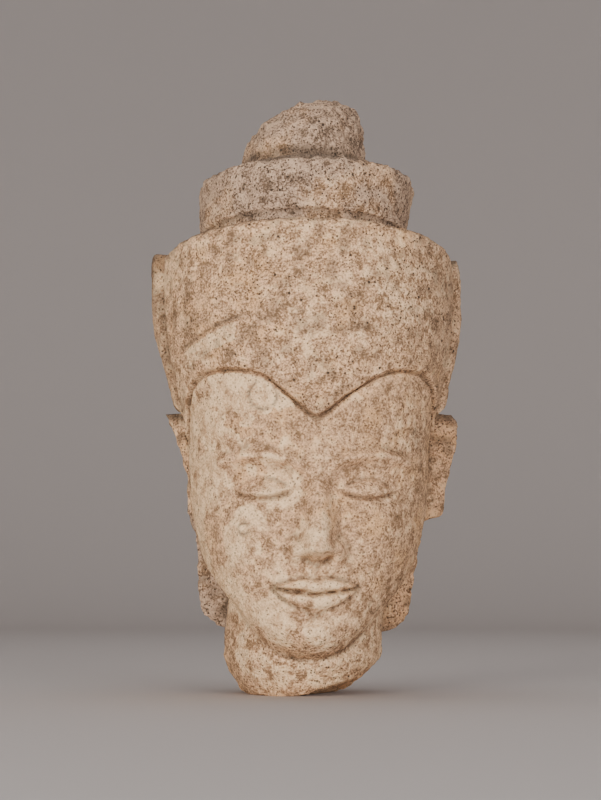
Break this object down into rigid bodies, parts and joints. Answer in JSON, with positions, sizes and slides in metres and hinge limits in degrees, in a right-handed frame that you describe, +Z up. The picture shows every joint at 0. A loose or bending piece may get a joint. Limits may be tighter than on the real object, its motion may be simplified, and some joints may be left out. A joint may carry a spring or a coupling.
{
  "type": "bodhisattva head",
  "caption": "Carved sandstone head of a crowned bodhisattva with closed eyes and long ears, under a flaring crown band, a drum and a broken knob, standing on its broken neck.",
  "frame": {"origin": "on the level part of the neck's broken underside, under the head's upright axis", "axes": "+Z up through the head, -Y the way the face looks, +X to the right of a viewer in front of the face"},
  "size_m": [0.2038, 0.221, 0.3916],
  "materials": {
    "sandstone": "weathered, matt, pitted, with ochre and grey patches"
  },
  "bodies": {
    "root": {"bodhisattva_head": "sandstone"}
  },
  "joints": []
}
